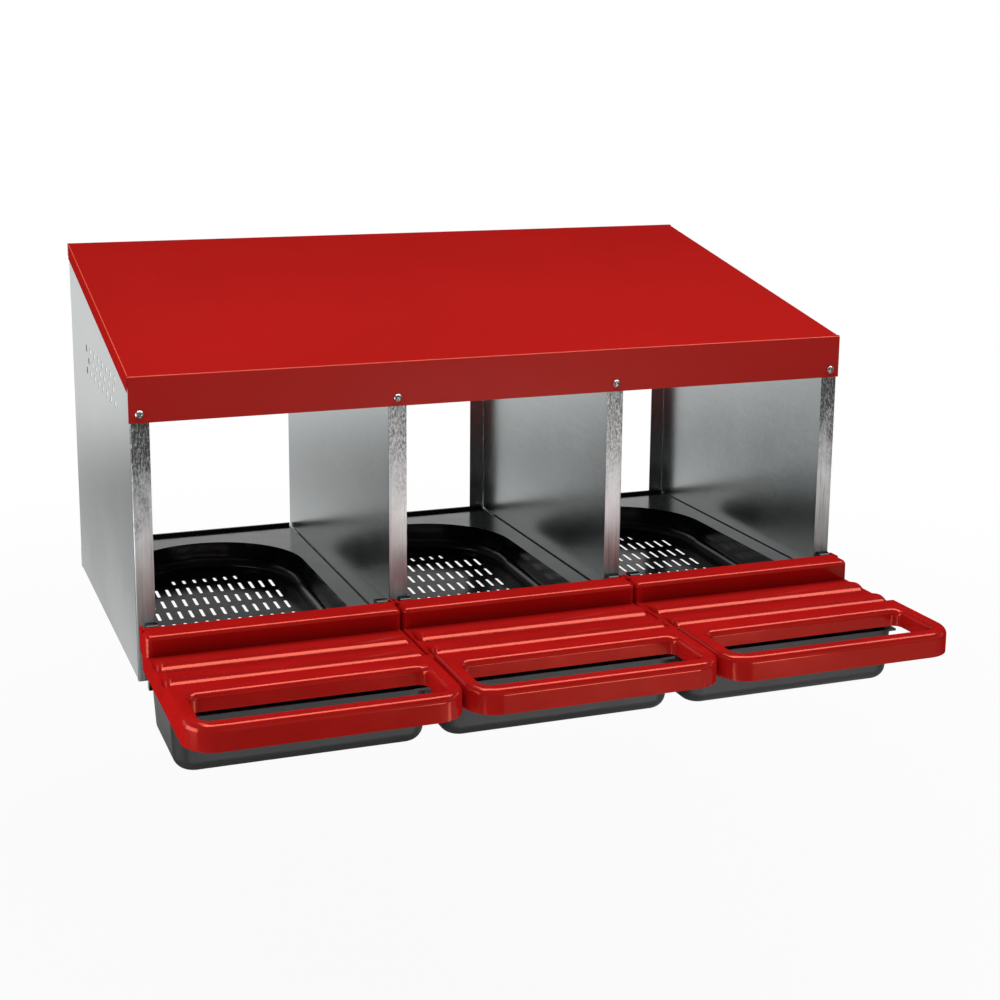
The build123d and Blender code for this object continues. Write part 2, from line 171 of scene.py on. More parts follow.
class Shader(Nodes):
    """A material and short ways to add its nodes."""

    def __init__(self, name):
        self.material = bpy.data.materials.new(name)
        self.material.use_nodes = True
        super().__init__(self.material.node_tree)
        self.surface = self.nodes["Principled BSDF"]
        self.place = self.nodes.new("ShaderNodeTexCoord").outputs["Object"]

    def set(self, **values):
        """Sets sockets of the surface by their names, with _ for a space."""
        for name, value in values.items():
            self.surface.inputs[name.replace("_", " ")].default_value = value

    def stretch(self, *scale):
        """The place on the piece, scaled separately along its axes."""
        node = self.nodes.new("ShaderNodeMapping")
        self.links.new(self.place, node.inputs["Vector"])
        node.inputs["Scale"].default_value = scale
        return node.outputs["Vector"]

    def noise(self, place, scale, detail=3.0, rough=0.5, distortion=0.0):
        """A cloudy value from 0 to 1."""
        node = self.nodes.new("ShaderNodeTexNoise")
        self.links.new(place, node.inputs["Vector"])
        node.inputs["Scale"].default_value = scale
        node.inputs["Detail"].default_value = detail
        node.inputs["Roughness"].default_value = rough
        node.inputs["Distortion"].default_value = distortion
        return node.outputs["Fac"]

    def cells(self, place, scale):
        """A random value for the crystal at a place."""
        node = self.nodes.new("ShaderNodeTexVoronoi")
        self.links.new(place, node.inputs["Vector"])
        node.inputs["Scale"].default_value = scale
        split = self.nodes.new("ShaderNodeSeparateColor")
        self.links.new(node.outputs["Color"], split.inputs["Color"])
        return split.outputs["Red"]

    def mix(self, share, a, b):
        """A colour between two colours."""
        node = self.nodes.new("ShaderNodeMix")
        node.data_type = "RGBA"
        self.feed(node.inputs["Factor"], share)
        self.feed(node.inputs["A"], a)
        self.feed(node.inputs["B"], b)
        return node.outputs["Result"]

    def colour(self, value):
        """Sets the colour of the surface."""
        self.feed(self.surface.inputs["Base Color"], value)

    def roughness(self, value):
        """Sets the roughness of the surface."""
        self.feed(self.surface.inputs["Roughness"], value)

    def gloss(self, level, low, high):
        """Shines most where the surface is seen squarely, and fades at a low angle."""
        facing = self.nodes.new("ShaderNodeLayerWeight").outputs["Facing"]
        # The export drops the linked level and keeps this middle one.
        self.set(Specular_IOR_Level=level / 2)
        shine = self.span(facing, low, high, level, 0.0)
        self.feed(self.surface.inputs["Specular IOR Level"], shine)

    def openness(self, reach):
        """How open the piece is around a place, from 0 in a narrow hollow to 1 on a bare face."""
        node = self.nodes.new("ShaderNodeAmbientOcclusion")
        node.only_local = True
        node.samples = HOLLOW_SAMPLES
        node.inputs["Distance"].default_value = reach
        return node.outputs["AO"]

    def bump(self, height, strength, distance, normal=None):
        """Raises the surface a little by a height value."""
        node = self.nodes.new("ShaderNodeBump")
        node.inputs["Strength"].default_value = strength
        node.inputs["Distance"].default_value = distance
        self.links.new(height, node.inputs["Height"])
        if normal is not None:
            self.links.new(normal, node.inputs["Normal"])
        self.links.new(node.outputs["Normal"], self.surface.inputs["Normal"])
        return node.outputs["Normal"]

    def glow(self, strength):
        """White light of a given strength."""
        node = self.nodes.new("ShaderNodeEmission")
        self.feed(node.inputs["Strength"], strength)
        return node.outputs["Emission"]

    def blend(self, share, a, b):
        """A surface between two surfaces."""
        node = self.nodes.new("ShaderNodeMixShader")
        self.links.new(share, node.inputs["Fac"])
        self.links.new(a, node.inputs[1])
        self.links.new(b, node.inputs[2])
        return node.outputs["Shader"]


def tint(colour, factor):
    """A colour made lighter or darker."""
    return (*(min(1.0, c * factor) for c in colour), 1.0)


def zinc_sheet(name, colour):
    """Hot-dip zinc on flat sheet: faint crystals, drawn streaks and soft clouds."""
    s = Shader(name)
    s.set(Metallic=1.0)
    crystals = s.cells(s.place, scale=260.0)
    streaks = s.noise(s.stretch(30.0, 9.0, 240.0), scale=1.0, detail=4.0, rough=0.6)
    clouds = s.noise(s.place, scale=9.0, detail=4.0)
    fine = s.noise(s.place, scale=900.0, detail=2.0)
    light = s.total(
        s.span(streaks, *CLOUDY, -0.04, 0.04),
        s.span(crystals, 0.0, 1.0, -0.03, 0.03),
        s.span(clouds, *CLOUDY, -0.03, 0.03),
        s.span(fine, *CLOUDY, -0.03, 0.03),
        0.5,
    )
    s.colour(s.mix(light, tint(colour, 0.7), tint(colour, 1.3)))
    s.roughness(s.total(s.span(clouds, *CLOUDY, 0.21, 0.25), s.math("MULTIPLY", crystals, 0.02)))
    s.bump(fine, strength=0.03, distance=0.0003)
    return s.material


def zinc_post(name, colour, upper_shade):
    """Zinc on the posts: upright streaks, a crinkled upper part, and painted light and shade,
    darker towards the bottom and lighter above, with the upper part's shade set per post.
    """
    s = Shader(name)
    s.set(Metallic=0.2, IOR=1.6)
    level = s.split(s.place)[2]
    streaks = s.noise(s.stretch(520.0, 520.0, 14.0), scale=1.0, detail=4.0, rough=0.65)
    crinkle = s.noise(s.stretch(700.0, 700.0, 260.0), scale=1.0, rough=0.6, distortion=0.6)
    patches = s.noise(s.stretch(60.0, 60.0, 22.0), scale=1.0, rough=0.55)
    upper = s.span(s.total(level, s.span(patches, *CLOUDY, -0.035, 0.035)), -0.03, 0.05)
    light = s.total(
        s.span(streaks, *CLOUDY, -0.1, 0.1),
        s.math("MULTIPLY", s.span(crinkle, 0.35, 0.65, upper_shade - 0.5, upper_shade + 0.4), upper),
        s.span(patches, *CLOUDY, -0.1, 0.1),
        # painted light and shade: the posts darken towards the bottom and lighten above
        s.span(level, -0.11, -0.03, -0.25, 0.4),
        0.5,
    )
    s.colour(s.mix(light, tint(colour, 0.1), tint(colour, 1.5)))
    s.roughness(s.span(streaks, *CLOUDY, 0.26, 0.36))
    normal = s.bump(s.math("MULTIPLY", crinkle, upper), strength=0.6, distance=0.001)
    s.bump(streaks, strength=0.1, distance=0.0005, normal=normal)
    return s.material


def red_coating(name, colour):
    """Smooth satin coating on folded sheet, with a very fine orange-peel skin."""
    s = Shader(name)
    s.set(IOR=1.5, Specular_Tint=ROOF_SHINE)
    s.gloss(level=0.5, low=0.2, high=0.5)
    clouds = s.noise(s.place, scale=5.0, detail=4.0)
    peel = s.noise(s.place, scale=700.0, detail=2.0)
    s.colour(s.mix(s.span(clouds, *CLOUDY), tint(colour, 0.96), tint(colour, 1.04)))
    s.roughness(s.span(s.noise(s.place, scale=18.0), *CLOUDY, 0.3, 0.36))
    s.bump(peel, strength=0.04, distance=0.0004)
    return s.material


def back_coat(name, colour):
    """Thin grey primer on the hidden side of coated sheet."""
    s = Shader(name)
    s.set(IOR=1.4)
    clouds = s.noise(s.place, scale=24.0, detail=4.0)
    s.colour(s.mix(s.span(clouds, *CLOUDY), tint(colour, 0.9), tint(colour, 1.1)))
    s.roughness(s.span(clouds, *CLOUDY, 0.45, 0.6))
    s.bump(s.noise(s.place, scale=900.0, detail=2.0), strength=0.05, distance=0.0003)
    return s.material


def moulded_plastic(name, colour, rough, skin, shine_and_shade=None):
    """Moulded plastic: soft flow marks, smudges and a fine skin.

    The optional shine tint gives a brighter shine, and comes with painted shade: the colour is
    darkened in the hollows.
    """
    s = Shader(name)
    s.set(IOR=1.5)
    flow = s.noise(s.stretch(14.0, 30.0, 30.0), scale=1.0, distortion=0.6)
    smudge = s.noise(s.place, scale=38.0, detail=4.0, rough=0.6)
    grain = s.noise(s.place, scale=1400.0, detail=2.0)
    paint = s.mix(s.span(flow, *CLOUDY), tint(colour, 0.92), tint(colour, 1.1))
    if shine_and_shade:
        s.set(IOR=1.8, Specular_Tint=shine_and_shade)
        s.gloss(level=1.0, low=0.22, high=0.55)
        # painted shade: the lids' colour is darkened in the hollows, by how open the piece is
        # around each place
        bare = s.span(s.openness(HOLLOW_REACH), 0.45, 0.95)
        paint = s.mix(bare, tint(colour, 0.4), paint)
    s.colour(paint)
    s.roughness(s.total(s.span(smudge, 0.35, 0.75, 0.0, 0.06), rough))
    normal = s.bump(flow, strength=0.04, distance=0.002)
    s.bump(grain, strength=skin, distance=0.0003, normal=normal)
    return s.material


def plated_steel(name, colour):
    """Bright plated screws, rivets and pins."""
    s = Shader(name)
    s.set(Metallic=1.0)
    stain = s.noise(s.place, scale=260.0)
    s.colour(s.mix(s.span(stain, *CLOUDY), tint(colour, 0.8), tint(colour, 1.12)))
    s.roughness(s.span(stain, *CLOUDY, 0.2, 0.34))
    s.bump(s.noise(s.place, scale=2200.0, detail=2.0), strength=0.08, distance=0.0002)
    return s.material


def dress(material, *nodes):
    """Gives CAD pieces a finish."""
    for node in nodes:
        mesh = NODES[node].data
        mesh.materials.clear()
        mesh.materials.append(material)


# ---------------------------------------------------------------- settings


class FinishSettings(bpy.types.PropertyGroup):
    """Colours of the finishes."""

    zinc: FloatVectorProperty(
        name="Zinc",
        description="Colour of the galvanised sheet",
        subtype="COLOR",
        size=3,
        default=(0.605, 0.64, 0.638),
    )
    roof: FloatVectorProperty(
        name="Roof",
        description="Colour of the roof coating",
        subtype="COLOR",
        size=3,
        default=(0.43, 0.012, 0.01),
    )
    lid: FloatVectorProperty(
        name="Lid",
        description="Colour of the perch lids",
        subtype="COLOR",
        size=3,
        default=(0.46, 0.009, 0.008),
    )
    insert: FloatVectorProperty(
        name="Insert",
        description="Colour of the nest inserts",
        subtype="COLOR",
        size=3,
        default=(0.008, 0.008, 0.009),
    )
    tray: FloatVectorProperty(
        name="Tray",
        description="Colour of the egg trays",
        subtype="COLOR",
        size=3,
        default=(0.035, 0.036, 0.037),
    )
    # painted highlight: the lighter red on the crests of the roof's folds stands in for the shine
    # along them
    fold: FloatVectorProperty(
        name="Fold",
        description="Colour of the thin coating on the folds of the roof",
        subtype="COLOR",
        size=3,
        default=(0.78, 0.1, 0.06),
    )
    primer: FloatVectorProperty(
        name="Primer",
        description="Colour of the underside of the roof",
        subtype="COLOR",
        size=3,
        default=(0.3, 0.31, 0.31),
    )
    steel: FloatVectorProperty(
        name="Steel",
        description="Colour of screws, rivets and pins",
        subtype="COLOR",
        size=3,
        default=(0.6, 0.6, 0.61),
    )


class SheetSettings(bpy.types.PropertyGroup):
    """Sizes of the folded sheets."""

    thickness: FloatProperty(
        name="Sheet", description="Thickness of the sheet", unit="LENGTH", default=0.0004
    )
    fold: FloatProperty(
        name="Fold", description="Outer radius of the folds", unit="LENGTH", default=0.002
    )
    front_height: FloatProperty(
        name="Front height",
        description="Height of the uprights at the front",
        unit="LENGTH",
        default=0.293,
    )
    post: FloatProperty(
        name="Post", description="Width of the front posts", unit="LENGTH", default=0.018
    )
    rear: FloatProperty(
        name="Rear flange", description="Width of the rear flanges", unit="LENGTH", default=0.018
    )
    foot: FloatProperty(
        name="Foot flange", description="Width of the foot flanges", unit="LENGTH", default=0.012
    )
    roof_side: FloatProperty(
        name="Roof side",
        description="Drop of the roof beside the panels",
        unit="LENGTH",
        default=0.0168,
    )
    roof_rear: FloatProperty(
        name="Roof rear", description="Drop of the roof at the back", unit="LENGTH", default=0.0148
    )
    relief: FloatProperty(
        name="Relief", description="Gap between two folds at a corner", unit="LENGTH", default=0.003
    )


class PlasticSettings(bpy.types.PropertyGroup):
    """Sizes of the moulded pieces."""

    slotted_floor: FloatProperty(
        name="Slotted floor",
        description="Thickness of the basins' floor at the drain slots",
        unit="LENGTH",
        default=0.0008,
    )


class VentSettings(bpy.types.PropertyGroup):
    """Sizes of the air holes."""

    radius: FloatProperty(
        name="Hole radius", description="Radius of the air holes", unit="LENGTH", default=0.004
    )
    pitch: FloatProperty(
        name="Hole pitch", description="Space between the air holes", unit="LENGTH", default=0.028
    )
    row: FloatProperty(
        name="Row pitch",
        description="Space between the rows of holes",
        unit="LENGTH",
        default=0.012,
    )
    front: FloatProperty(
        name="First hole",
        description="First air hole behind the front",
        unit="LENGTH",
        default=0.084,
    )
    height: FloatProperty(
        name="Top row",
        description="Height of the upper row of holes",
        unit="LENGTH",
        default=0.27643,
    )


class FastenerSettings(bpy.types.PropertyGroup):
    """Sizes of the screws and rivets."""

    screw: FloatProperty(
        name="Screw", description="Radius of the roof screws", unit="LENGTH", default=0.002
    )
    screw_length: FloatProperty(
        name="Screw length", description="Length under the head", unit="LENGTH", default=0.008
    )
    screw_head: FloatProperty(
        name="Screw head", description="Radius of the screw heads", unit="LENGTH", default=0.004
    )
    screw_height: FloatProperty(
        name="Head height", description="Height of the heads", unit="LENGTH", default=0.0026
    )
    recess_length: FloatProperty(
        name="Recess", description="Length of the cross", unit="LENGTH", default=0.0046
    )
    recess_width: FloatProperty(
        name="Recess width", description="Width of the cross", unit="LENGTH", default=0.001
    )
    recess_depth: FloatProperty(
        name="Recess depth", description="Depth of the cross", unit="LENGTH", default=0.0012
    )
    rivet: FloatProperty(
        name="Rivet", description="Radius of the rivets", unit="LENGTH", default=0.002
    )
    rivet_head: FloatProperty(
        name="Rivet head", description="Radius of the rivet heads", unit="LENGTH", default=0.0035
    )
    rivet_height: FloatProperty(
        name="Rivet height", description="Height of the heads", unit="LENGTH", default=0.001
    )
    grip: FloatProperty(
        name="Grip", description="Sheet held between the rivet's ends", unit="LENGTH", default=0.002
    )


class StageSettings(bpy.types.PropertyGroup):
    """Lights and floor."""

    top_strip: FloatProperty(
        name="Top strip",
        description="Power of the light above the lids",
        unit="POWER",
        default=21.0,
    )
    rear_strip: FloatProperty(
        name="Rear strip",
        description="Power of the light above the roof",
        unit="POWER",
        default=2.5,
    )
    side: FloatProperty(
        name="Side light", description="Power of the light on the left", unit="POWER", default=12.0
    )
    low_front: FloatProperty(
        name="Low front light",
        description="Power of the dim light low in front",
        unit="POWER",
        default=2.2,
    )
    low_strip: FloatProperty(
        name="Low strip", description="Power of the light below the lids", unit="POWER", default=1.6
    )
    floor_drop: FloatProperty(
        name="Floor drop",
        description="Space between the trays and the floor",
        unit="LENGTH",
        default=0.45,
    )


# ---------------------------------------------------------------- pieces


def put(name, data):
    """A new object in the scene."""
    piece = bpy.data.objects.new(name, data)
    bpy.context.scene.collection.objects.link(piece)
    return piece


def middle(node, axis):
    """The middle of a CAD piece along one axis."""
    return sum(getattr(corner, axis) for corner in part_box(node)) / 2


def fold_rows(build, first, final, outward, normal, fold):
    """Rows of two corners each, around a fold and down to the edge of its flange."""
    radius = bpy.context.scene.nestbox_sheet.fold
    tangent = radius * math.tan(fold.turn / 2)
    rows = []
    for step in range(FOLD_STEPS + 1):
        angle = fold.turn * step / FOLD_STEPS
        out = outward * (radius * math.sin(angle) - tangent)
        shift = out - normal * radius * (1 - math.cos(angle))
        rows.append([build.verts.new(first + shift), build.verts.new(final + shift)])
    down = outward * math.cos(fold.turn) - normal * math.sin(fold.turn)
    rows.append([build.verts.new(v.co + down * (fold.drop - tangent)) for v in rows[-1]])
    return rows


def folded_sheet(name, outline, normal, folds):
    """A flat sheet with folds on some of its edges, numbered from the outline's first corner."""
    normal = Vector(normal).normalized()
    count = len(outline)
    build = bmesh.new()
    loop = []
    strips = []
    for index, corner in enumerate(outline):
        after = outline[(index + 1) % count]
        along = (after - corner).normalized()
        outward = along.cross(normal)
        fold = folds.get(index)
        last = folds.get((index - 1) % count)
        starts_here = fold and not fold.start
        ended_here = last and not last.end
        if not starts_here and not ended_here:
            loop.append(build.verts.new(corner))
        if not fold:
            continue
        first, final = corner + along * fold.start, after - along * fold.end
        if fold.start:
            loop.append(build.verts.new(first))
        rows = fold_rows(build, first, final, outward, normal, fold)
        loop += rows[0]
        if fold.end:
            loop.append(build.verts.new(final))
        strips.append(rows)
    build.faces.new(loop)
    for rows in strips:
        for step, ((a, b), (c, d)) in enumerate(zip(rows, rows[1:])):
            face = build.faces.new((b, a, c, d))
            # the crest steps take the lighter red of the painted highlight
            face.material_index = 1 if step in FOLD_HIGHLIGHT else 0
    for face in build.faces:
        face.smooth = True
    mesh = bpy.data.meshes.new(name)
    build.to_mesh(mesh)
    build.free()
    piece = put(name, mesh)
    wall = piece.modifiers.new("thickness", "SOLIDIFY")
    wall.thickness = bpy.context.scene.nestbox_sheet.thickness
    wall.offset = -1.0
    wall.use_even_offset = True
    return piece


def flat_normals(piece):
    """Keeps the large flat faces flat beside the rounded folds."""
    weighted = piece.modifiers.new("flat faces", "WEIGHTED_NORMAL")
    weighted.mode = "FACE_AREA"
    weighted.weight = 100
    weighted.keep_sharp = True


def settle(work, body, slot, *nodes):
    """Turns a built object into a plain piece that stands for CAD nodes."""
    graph = bpy.context.evaluated_depsgraph_get()
    mesh = bpy.data.meshes.new_from_object(work.evaluated_get(graph), depsgraph=graph)
    name = work.name
    work.name = "old_" + name
    bpy.data.objects.remove(work)
    mesh.name = name
    piece = put(name, mesh)
    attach(piece, body)
    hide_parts(*nodes)


def thin_floor(build, node):
    """Thins the basin's floor around its drain slots, so that they show light at a low angle."""
    low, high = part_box(node)
    centre = middle(node, "x")
    reach = (high.x - low.x) * SLOTTED_SHARE
    underside = set()
    for edge in build.edges:
        foot, top = sorted(edge.verts, key=lambda v: v.co.z)
        rise = top.co - foot.co
        through_floor = rise.xy.length < WELD and abs(rise.z - INSERT_WALL) < 10 * WELD
        if through_floor and abs(foot.co.x - centre) < reach:
            underside.add(foot)
    for vertex in underside:
        vertex.co.z += INSERT_WALL - bpy.context.scene.nestbox_plastics.slotted_floor


def moulding(node, body, slot, material, shape=None):
    """A moulded piece with smooth rounded edges, from a copy of its CAD node changed by shape."""
    mesh = NODES[node].data.copy()
    mesh.transform(NODES[node].matrix_world)
    mesh.materials.clear()
    mesh.materials.append(material)
    if "custom_normal" in mesh.attributes:
        mesh.attributes.remove(mesh.attributes["custom_normal"])
    build = bmesh.new()
    build.from_mesh(mesh)
    bmesh.ops.remove_doubles(build, verts=build.verts, dist=WELD)
    if shape:
        shape(build, node)
    for face in build.faces:
        face.smooth = True
        face.material_index = 0
    for edge in build.edges:
        edge.smooth = edge.calc_face_angle(0.0) < MOULDED_EDGE
    build.to_mesh(mesh)
    build.free()
    piece = put(node + "_moulding", mesh)
    flat_normals(piece)
    settle(piece, body, slot, node)


class Tree(Nodes):
    """A geometry node tree with named inputs, and short ways to add its nodes."""

    SOCKETS = {float: "NodeSocketFloat", int: "NodeSocketInt", Vector: "NodeSocketVector"}

    def __init__(self, name, **sizes):
        self.tree = bpy.data.node_groups.new(name, "GeometryNodeTree")
        super().__init__(self.tree)
        face = self.tree.interface
        face.new_socket("Geometry", in_out="INPUT", socket_type="NodeSocketGeometry")
        for size, value in sizes.items():
            socket = face.new_socket(size, in_out="INPUT", socket_type=self.SOCKETS[type(value)])
            socket.default_value = value
        face.new_socket("Geometry", in_out="OUTPUT", socket_type="NodeSocketGeometry")
        self.sizes = sizes
        self.inputs = self.nodes.new("NodeGroupInput").outputs
        self.end = self.nodes.new("NodeGroupOutput")

    def add(self, kind, settings=None, **inputs):
        """Adds a node and fills its sockets by name, with _ for a space."""
        node = self.nodes.new(kind)
        for key, value in (settings or {}).items():
            setattr(node, key, value)
        for key, value in inputs.items():
            self.feed(node.inputs[key.replace("_", " ")], value)
        return node

    def times(self, a, b):
        """The product of two values."""
        return self.math("MULTIPLY", a, b)

    def squared(self, a):
        """The square of a value."""
        return self.math("POWER", a, 2.0)

    def vector(self, x=0.0, y=0.0, z=0.0):
        """Three values as one place."""
        return self.add("ShaderNodeCombineXYZ", X=x, Y=y, Z=z).outputs["Vector"]

    def position(self):
        """The three parts of each point's place."""
        return self.split(self.add("GeometryNodeInputPosition").outputs["Position"])

    def move(self, geometry, **how):
        """A geometry moved and turned as a whole."""
        return self.add("GeometryNodeTransform", Geometry=geometry, **how).outputs["Geometry"]

    def push(self, mesh, shift):
        """A mesh with each point shifted by its own amount."""
        node = self.add("GeometryNodeSetPosition", Geometry=mesh, Offset=shift)
        return node.outputs["Geometry"]

    def copies(self, places, piece, turn):
        """A piece copied to every place, all turned alike."""
        how = {"Points": places, "Instance": piece, "Rotation": turn}
        return self.add("GeometryNodeInstanceOnPoints", **how).outputs["Instances"]

    def real(self, copies):
        """Copies as plain geometry."""
        return self.add("GeometryNodeRealizeInstances", Geometry=copies).outputs["Geometry"]

    def join(self, *parts):
        """Several geometries as one."""
        node = self.add("GeometryNodeJoinGeometry")
        for part in parts:
            self.links.new(part, node.inputs["Geometry"])
        return node.outputs["Geometry"]

    def cut(self, mesh, *tools):
        """A mesh with other meshes taken out of it."""
        node = self.add("GeometryNodeMeshBoolean", {"operation": "DIFFERENCE", "solver": "EXACT"})
        self.links.new(mesh, node.inputs["Mesh 1"])
        for tool in tools:
            self.links.new(tool, node.inputs["Mesh 2"])
        return node.outputs["Mesh"]

    def finish(self, geometry, material=None):
        """Makes the copies real and gives them their finish."""
        real = self.real(geometry)
        if material:
            node = self.add("GeometryNodeSetMaterial", Geometry=real, Material=material)
            real = node.outputs["Geometry"]
        self.links.new(real, self.end.inputs["Geometry"])

    def use(self, piece):
        """Puts the tree on a piece with its sizes."""
        modifier = piece.modifiers.new(self.tree.name, "NODES")
        modifier.node_group = self.tree
        for item in self.tree.interface.items_tree:
            if item.in_out == "INPUT" and item.name in self.sizes:
                modifier[item.identifier] = self.sizes[item.name]


def vent_tree(x):
    """Three staggered rows of round holes through a side panel at one place across the width."""
    v = bpy.context.scene.nestbox_vents
    first = Vector((x, PANEL_LOW.y + v.front, PANEL_LOW.z + v.height))
    sizes = {"Radius": v.radius, "Pitch": v.pitch, "Row": v.row, "Count": VENT_COUNT}
    tree = Tree("air_holes", **sizes, First=first)
    i = tree.inputs
    half = tree.times(i["Pitch"], 0.5)
    rows = []
    for row in range(VENT_ROWS):
        inner = row % 2  # every second row sits between the holes of its neighbours
        shift = tree.vector(y=half if inner else 0.0, z=tree.times(i["Row"], -row))
        start = tree.add("ShaderNodeVectorMath", {"operation": "ADD"})
        tree.feed(start.inputs[0], i["First"])
        tree.feed(start.inputs[1], shift)
        line = tree.add(
            "GeometryNodeMeshLine",
            {"mode": "OFFSET"},
            Count=tree.math("SUBTRACT", i["Count"], inner),
            Start_Location=start.outputs["Vector"],
            Offset=tree.vector(y=i["Pitch"]),
        )
        rows.append(line.outputs["Mesh"])
    drill = tree.add(
        "GeometryNodeMeshCylinder", Vertices=ROUND_SIDES, Radius=i["Radius"], Depth=DRILL_DEPTH
    )
    drills = tree.copies(tree.join(*rows), drill.outputs["Mesh"], (0.0, SQUARE, 0.0))
    tree.finish(tree.cut(i["Geometry"], tree.real(drills)))
    return tree


class NESTBOX_OT_uprights(bpy.types.Operator):
    """Folds the side panels and dividers, with their posts, flanges and air holes"""

    bl_idname = "nestbox.uprights"
    bl_label = "Side panels and dividers"

    def execute(self, context):
        s = context.scene.nestbox_sheet
        zinc = context.scene.nestbox_finish.zinc
        sheet = zinc_sheet("galvanised_sheet", zinc)
        # the posts carry painted shade; the end posts' upper part is painted darker than the
        # dividers' posts
        end_post = zinc_post("galvanised_end_posts_painted_shading", zinc, END_POST_SHADE)
        inner_post = zinc_post("galvanised_inner_posts_painted_shading", zinc, INNER_POST_SHADE)
        gap = 2 * s.relief
        foot = Fold(s.foot, SQUARE, gap, gap)
        post = Fold(s.post, SQUARE)
        rear = Fold(s.rear, SQUARE)
        for node in UPRIGHTS:
            low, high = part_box(node)
            is_left = node.startswith("left")
            is_panel = node.endswith("panel")
            x = low.x if is_left else high.x
            foot_rear = Vector((x, high.y, low.z))
            foot_front = Vector((x, low.y, low.z))
            top_front = Vector((x, low.y, low.z + s.front_height))
            top_rear = Vector((x, high.y, high.z))
            if is_left:
                outline = [foot_rear, foot_front, top_front, top_rear]
                folds = {0: foot, 1: post, 3: rear}
            else:
                outline = [foot_front, foot_rear, top_rear, top_front]
                folds = {0: foot, 1: rear, 3: post}
            piece = folded_sheet(node + "_sheet", outline, (-1 if is_left else 1, 0, 0), folds)
            piece.data.materials.append(sheet)
            piece.data.materials.append(end_post if is_panel else inner_post)
            for face in piece.data.polygons:
                face.material_index = 1 if face.normal.y < POST_FACING else 0
            if is_panel:
                vent_tree(x).use(piece)
            flat_normals(piece)
            settle(piece, "cabinet", "galvanised_sheet", node)
        dress(sheet, "rear_upper_rail", "rear_lower_rail", "insert_runners")
        dress(sheet, "end_brackets", "divider_brackets")
        return {"FINISHED"}


class NESTBOX_OT_roof(bpy.types.Operator):
    """Folds the roof with its fascia, side flanges and rear flange"""

    bl_idname = "nestbox.roof"
    bl_label = "Roof"

    def execute(self, context):
        s = context.scene.nestbox_sheet
        slope = (PANEL_HIGH.z - PANEL_LOW.z - s.front_height) / (PANEL_HIGH.y - PANEL_LOW.y)
        lean = math.atan(slope)
        front = ROOF_HIGH.z - slope * (ROOF_HIGH.y - ROOF_LOW.y)
        outline = [
            Vector((ROOF_LOW.x, ROOF_LOW.y, front)),
            Vector((ROOF_HIGH.x, ROOF_LOW.y, front)),
            Vector((ROOF_HIGH.x, ROOF_HIGH.y, ROOF_HIGH.z)),
            Vector((ROOF_LOW.x, ROOF_HIGH.y, ROOF_HIGH.z)),
        ]
        far = 2 * s.relief
        folds = {
            0: Fold(front - ROOF_LOW.z, SQUARE - lean),
            1: Fold(s.roof_side, SQUARE, s.relief, far),
            2: Fold(s.roof_rear, SQUARE + lean),
            3: Fold(s.roof_side, SQUARE, far, s.relief),
        }
        piece = folded_sheet("roof_sheet", outline, (0, -math.sin(lean), math.cos(lean)), folds)
        finish = context.scene.nestbox_finish
        piece.data.materials.append(red_coating("red_coating", finish.roof))
        # the lighter red on the fold crests is a painted highlight
        piece.data.materials.append(red_coating("red_coating_painted_highlight", finish.fold))
        piece.data.materials.append(back_coat("grey_primer", finish.primer))
        piece.modifiers["thickness"].material_offset = 2
        flat_normals(piece)
        settle(piece, "cabinet", "red_paint", "roof")
        return {"FINISHED"}


class NESTBOX_OT_plastics(bpy.types.Operator):
    """Makes smooth copies of the lids, inserts and trays with their finishes"""

    bl_idname = "nestbox.plastics"
    bl_label = "Plastic pieces"

    def execute(self, context):
        finish = context.scene.nestbox_finish
        red = moulded_plastic("red_plastic", finish.lid, rough=0.1, skin=0.02, shine_and_shade=LID_SHINE)
        black = moulded_plastic("black_plastic", finish.insert, rough=0.14, skin=0.02)
        grey = moulded_plastic("grey_plastic", finish.tray, rough=0.34, skin=0.08)
        for bay in BAYS:
            moulding(f"perch_lid_{bay}", f"lid_{bay}", "red_plastic", red)
            moulding(f"nest_insert_{bay}", f"insert_{bay}", "black_plastic", black, thin_floor)
            moulding(f"egg_tray_{bay}", f"tray_{bay}", "grey_plastic", grey)
        return {"FINISHED"}


def domed_head(tree, radius, height):
    """A round head with a domed top, standing on the level of its sheet."""
    disc = tree.add(
        "GeometryNodeMeshCylinder",
        Vertices=ROUND_SIDES,
        Fill_Segments=DOME_RINGS,
        Radius=radius,
        Depth=height,
    )
    x, y, z = tree.position()
    across = tree.math("DIVIDE", tree.total(tree.squared(x), tree.squared(y)), tree.squared(radius))
    upper = tree.math("GREATER_THAN", z, 0.0)
    fall = tree.times(tree.times(tree.math("POWER", across, DOME_POWER), upper), -DOME_FALL)
    domed = tree.push(disc.outputs["Mesh"], tree.vector(z=tree.times(fall, height)))
    return tree.move(domed, Translation=tree.vector(z=tree.times(height, 0.5)))


def shank(tree, radius, length, thread):
    """A round bar that hangs below the head, ringed like a thread where a depth is given."""
    bar = tree.add(
        "GeometryNodeMeshCylinder",
        Vertices=SHANK_SIDES,
        Side_Segments=SHANK_RINGS,
        Radius=radius,
        Depth=length,
    )
    x, y, z = tree.position()
    wave = tree.math("SINE", tree.times(z, math.tau / THREAD_PITCH))
    ring = tree.times(tree.math("SUBTRACT", wave, 1.0), thread)
    ringed = tree.push(bar.outputs["Mesh"], tree.vector(tree.times(x, ring), tree.times(y, ring)))
    return tree.move(ringed, Translation=tree.vector(z=tree.times(length, -0.5)))


